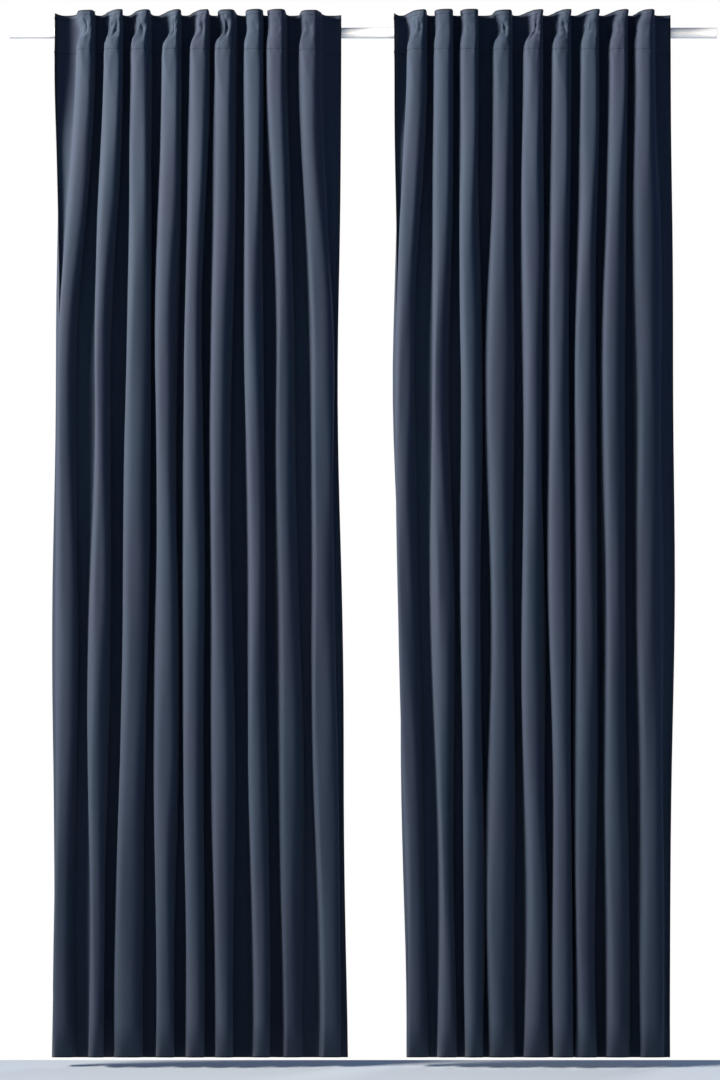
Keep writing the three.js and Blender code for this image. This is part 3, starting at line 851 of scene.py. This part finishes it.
def cloth_material(name, dark, light, pitch, sheen, length=None, rows=(0, 0)):
    """Woven cloth between two colours, with threads of this pitch and this much bloom, in soft patches of a violet
    and a teal cast. A length gives the cut cloth's height, and then painted shade darkens its rim and two rows of
    stitches cross it."""
    material, shader = new_material(name, CLOTH_ROUGHNESS)
    tree = material.node_tree
    weave = tree.nodes.new("ShaderNodeGroup")
    weave.node_tree = TWILL
    weave.inputs["Pitch"].default_value = pitch
    plain = colour_ramp(tree, weave.outputs["Shade"], [(0.25, dark), (0.75, light)])
    patches = noise(tree, stretched(tree, coordinates(tree, "UV"), CAST_STRETCH), CAST_SCALE, CAST_DETAIL)
    cast = colour_ramp(tree, patches, [(0.35, scaled(light, VIOLET_CAST)), (0.65, scaled(light, TEAL_CAST))])
    colour = mixed(tree, weave.outputs["Shade"], plain, cast)
    height = weave.outputs["Height"]
    if length:
        sewing = tree.nodes.new("ShaderNodeGroup")
        sewing.node_tree = SEWING_AND_SHADED_RIM
        sewing.inputs["Lower"].default_value, sewing.inputs["Upper"].default_value = rows
        sewing.inputs["Length"].default_value = length
        # Painted shade: the outermost strip of the cloth is darkened into a dark edge.
        colour = mixed(tree, sewing.outputs["Rim"], colour, scaled(dark, RIM_PAINTED_SHADE))
        colour = mixed(tree, sewing.outputs["Stitch"], colour, scaled(dark, STITCH_SHADE))
        height = maths(tree, "ADD", height, maths(tree, "MULTIPLY", sewing.outputs["Stitch"], STITCH_HEIGHT))
    tree.links.new(colour, shader.inputs["Base Color"])
    tree.links.new(bump(tree, height, WEAVE_BUMP, WEAVE_DEPTH), shader.inputs["Normal"])
    shader.inputs["Sheen Weight"].default_value = sheen
    shader.inputs["Sheen Roughness"].default_value = SHEEN_ROUGHNESS
    shader.inputs["Sheen Tint"].default_value = SHEEN_TINT
    shader.inputs["Specular IOR Level"].default_value = CLOTH_SPECULAR
    return material


SEAMS = (TAPE_LOW_Z + SEAM_INSET - HEM_Z, TAPE_HIGH_Z - SEAM_INSET - HEM_Z)
CLOTH = cloth_material(
    "dark blue cloth", dark=(0.0135, 0.0235, 0.041), light=(0.022, 0.035, 0.058),
    pitch=0.0009, sheen=0.10, length=TOP_Z - HEM_Z, rows=SEAMS)
TAPE = cloth_material(
    "heading tape", dark=(0.016, 0.027, 0.048), light=(0.026, 0.042, 0.070), pitch=0.0014, sheen=0.10)
print("cloth finishes:", CLOTH.name, "and", TAPE.name)

# %% [markdown]
# ## Hard parts and webbing
# The rod and brackets are steel under white paint, and the screws are bright zinc. The loops are narrow woven
# webbing: ribs across the strap, with a rougher thread than the cloth. These pieces could be modelled again with
# more detail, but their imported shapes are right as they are, so only their finishes change.

# %% Hard finishes
PAINT_MOTTLE, PAINT_DEPTH = 0.97, 0.0002
MARK_STRETCH, MARK_SCALE, MARK_DETAIL, MARK_SHADE = (1, 1, 6), 700.0, 3.0, 0.85
MARK_BUMP, MARK_DEPTH = 0.15, 0.0001
RIB_SPREAD, RIB_BUMP, RIB_DEPTH = 1.6, 0.5, 0.0004


def paint_material(name, colour, roughness, grain, strength):
    """Paint or plastic with a fine orange-peel grain of this scale, in waves per metre."""
    material, shader = new_material(name, roughness)
    tree = material.node_tree
    spot = noise(tree, coordinates(tree, "Object"), grain)
    shade = colour_ramp(tree, spot, [(0.3, scaled(colour, PAINT_MOTTLE)), (0.7, colour)])
    tree.links.new(shade, shader.inputs["Base Color"])
    tree.links.new(bump(tree, spot, strength, PAINT_DEPTH), shader.inputs["Normal"])
    return material


def steel_material(name, colour, roughness):
    """Plated steel with faint turning marks."""
    material, shader = new_material(name, roughness, metallic=1.0)
    tree = material.node_tree
    marks = noise(tree, stretched(tree, coordinates(tree, "Object"), MARK_STRETCH), MARK_SCALE, MARK_DETAIL)
    tint = colour_ramp(tree, marks, [(0.3, scaled(colour, MARK_SHADE)), (0.7, colour)])
    tree.links.new(tint, shader.inputs["Base Color"])
    tree.links.new(bump(tree, marks, MARK_BUMP, MARK_DEPTH), shader.inputs["Normal"])
    return material


def webbing_material(name, dark, light, rib):
    """Ribbed webbing: a sine across the strap times a longer one round it, between two colours."""
    material, shader = new_material(name, roughness=0.85)
    tree = material.node_tree
    x, y, z = axes(tree, coordinates(tree, "Object"))
    across = maths(tree, "SINE", maths(tree, "MULTIPLY", x, 2 * np.pi / rib))
    round_strap = maths(tree, "MULTIPLY", maths(tree, "ADD", z, y), 2 * np.pi / (rib * RIB_SPREAD))
    both = maths(tree, "MULTIPLY", across, maths(tree, "SINE", round_strap))
    weave = maths(tree, "ADD", maths(tree, "MULTIPLY", both, 0.5), 0.5)
    tree.links.new(colour_ramp(tree, weave, [(0.2, dark), (0.8, light)]), shader.inputs["Base Color"])
    tree.links.new(bump(tree, weave, RIB_BUMP, RIB_DEPTH), shader.inputs["Normal"])
    return material


FINISHES = {
    "rod_white": paint_material("rod paint", (0.87, 0.88, 0.88), roughness=0.30, grain=900.0, strength=0.05),
    "cap_plastic": paint_material("cap plastic", (0.84, 0.83, 0.80), roughness=0.45, grain=1500.0, strength=0.08),
    "bracket_white": paint_material(
        "bracket paint", (0.86, 0.85, 0.82), roughness=0.40, grain=1200.0, strength=0.15),
    "zinc_steel": steel_material("zinc plate", (0.72, 0.74, 0.76), roughness=0.30),
    "loop_webbing": webbing_material("loop webbing", (0.012, 0.018, 0.030), (0.045, 0.060, 0.088), rib=0.0022),
}
print(len(FINISHES), "hard finishes")

# %% Place the finishes
placed = 0
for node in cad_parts.values():
    for slot in node.material_slots:
        name = slot.material.name if slot.material else ""
        for key, finish in FINISHES.items():
            if key in name:
                slot.material = finish
                placed += 1
print("finishes placed on", placed, "slots of", len(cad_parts), "nodes")

# %% Floor finish
FLOOR_COLOUR = (0.58, 0.68, 0.76, 1)
FLOOR_FINISH, floor_shader = new_material("pale floor", roughness=0.9)
floor_shader.inputs["Base Color"].default_value = FLOOR_COLOUR
floor.data.materials.append(FLOOR_FINISH)
print("floor finish:", FLOOR_FINISH.name)

# %% [markdown]
# ## The cloth panels
# Each panel is one cut of cloth with its side edges and its hem turned over and sewn. It could be a soft body that
# is left to fall, but then its folds would not gather with the loops. It is one sheet here, in the shape it hangs
# in.

# %% Sheet helpers
COLUMNS, COLUMN_TRIALS = 500, 4000
DENSER_BEFORE, DENSER, DENSE_WIDTH = 0.008, 2.2, 0.034


def panel_columns(side, low, high):
    """Flat places across the panel, three times as close together on the ridges as in the valleys."""
    s = np.linspace(low, high, COLUMN_TRIALS)
    ridges = cloth_places(side)[RIDGES] - DENSER_BEFORE
    nearest = np.abs(s[:, None] - ridges).min(axis=1)
    share = (1 + DENSER * bell(nearest, DENSE_WIDTH)).cumsum()
    return np.interp(np.linspace(share[0], share[-1], COLUMNS), share, s)


def hang(piece):
    """Bake a piece's placement into its mesh."""
    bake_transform(piece)


print("columns across a panel:", len(panel_columns("left", 0, PANEL_WIDTH)), "and its rims")

# %% Cloth panels
HEM_TURN, HEM_EXTRA, HEM_STEP = 0.010, 0.9, 0.0008
RIM_PLACES = np.array([0, 0.0006, 0.005, 0.0092])

for side in SIDES:
    inner = panel_columns(side, HEM_TURN, PANEL_WIDTH - HEM_TURN)
    s = np.concatenate([RIM_PLACES, inner, PANEL_WIDTH - RIM_PLACES[::-1]])
    z = drop_rows(TOP_Z, HEM_Z)
    middle = panel_surface(side, s, z)
    edge_distance = np.minimum(np.minimum(s, PANEL_WIDTH - s)[None, :], (z - HEM_Z)[:, None])
    turned = 1 - smooth((edge_distance - HEM_TURN + HEM_STEP) / HEM_STEP)
    name = f"{side}_panel_cloth"
    cloth = shell(name, middle, CLOTH_THICKNESS * (1 + HEM_EXTRA * turned), flat_pattern(s, z, HEM_Z), CLOTH)
    hang(cloth)
    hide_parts(*[f"{side}_panel_fold_{n}" for n in range(1, FOLDS + 1)])
    width = np.linalg.norm(np.diff(middle, axis=1), axis=-1).sum(axis=1)
    print(name, middle.shape[:2], "width along the cloth", width.min().round(3), "to", width.max().round(3))

# %% [markdown]
# ## The heading tapes
# A stiff tape is sewn along two lines to the back of each panel's top, and it carries the loops. It could be drawn
# as a thicker band of the panel, but on the real curtain it is a strip of its own. So it is a second sheet that
# follows the panel's back at a small distance.

# %% Heading tapes
TAPE_THICKNESS, TAPE_GAP = 0.0008, 0.0003
TAPE_FROM_EDGE, TAPE_HEIGHT, TAPE_ROWS = 0.010, 0.086, 36
TAPE_BEHIND = CLOTH_THICKNESS / 2 + TAPE_THICKNESS / 2 + TAPE_GAP

for side in SIDES:
    s = panel_columns(side, TAPE_FROM_EDGE, PANEL_WIDTH - TAPE_FROM_EDGE)
    z = np.linspace(TAPE_HIGH_Z, TAPE_LOW_Z, TAPE_ROWS)
    middle = panel_surface(side, s, z, TAPE_BEHIND)
    tape = shell(f"{side}_panel_heading_tape_cloth", middle, TAPE_THICKNESS, flat_pattern(s, z, TAPE_LOW_Z), TAPE)
    hang(tape)
    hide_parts(f"{side}_panel_heading_tape")
    print(tape.name, middle.shape[:2])
